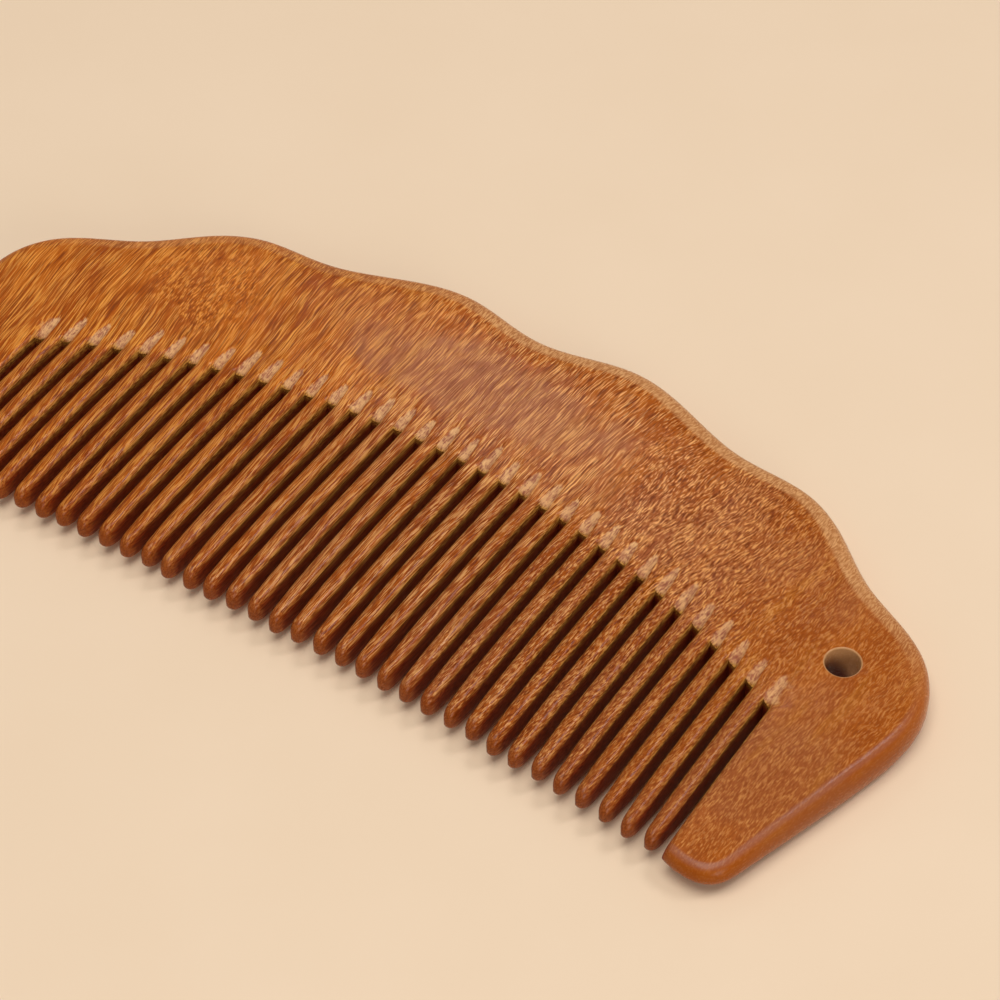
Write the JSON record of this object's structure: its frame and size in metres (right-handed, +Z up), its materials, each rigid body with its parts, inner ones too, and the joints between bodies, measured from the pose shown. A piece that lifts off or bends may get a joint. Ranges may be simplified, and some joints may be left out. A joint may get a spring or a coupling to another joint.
{
  "type": "comb",
  "caption": "Flat wooden hair comb with a wavy back, straight narrow teeth between two wide end guards, and a hanging hole at one end.",
  "frame": {"origin": "centre of the bounding box, on the surface that the comb lies on", "axes": "+X along the back towards the end with the hanging hole, +Y from the tooth tips to the back, +Z up through the thickness"},
  "size_m": [0.1306, 0.0586, 0.0054],
  "materials": {
    "comb_wood": "hand-sanded, oiled and polished to a satin sheen"
  },
  "bodies": {
    "root": {"back": "comb_wood", "left_end_guard": "comb_wood", "right_end_guard": "comb_wood", "tooth_01": "comb_wood", "tooth_02": "comb_wood", "tooth_03": "comb_wood", "tooth_04": "comb_wood", "tooth_05": "comb_wood", "tooth_06": "comb_wood", "tooth_07": "comb_wood", "tooth_08": "comb_wood", "tooth_09": "comb_wood", "tooth_10": "comb_wood", "tooth_11": "comb_wood", "tooth_12": "comb_wood", "tooth_13": "comb_wood", "tooth_14": "comb_wood", "tooth_15": "comb_wood", "tooth_16": "comb_wood", "tooth_17": "comb_wood", "tooth_18": "comb_wood", "tooth_19": "comb_wood", "tooth_20": "comb_wood", "tooth_21": "comb_wood", "tooth_22": "comb_wood", "tooth_23": "comb_wood", "tooth_24": "comb_wood", "tooth_25": "comb_wood", "tooth_26": "comb_wood", "tooth_27": "comb_wood", "tooth_28": "comb_wood", "tooth_29": "comb_wood", "tooth_30": "comb_wood", "tooth_31": "comb_wood", "tooth_32": "comb_wood", "tooth_33": "comb_wood", "tooth_34": "comb_wood"}
  },
  "joints": []
}
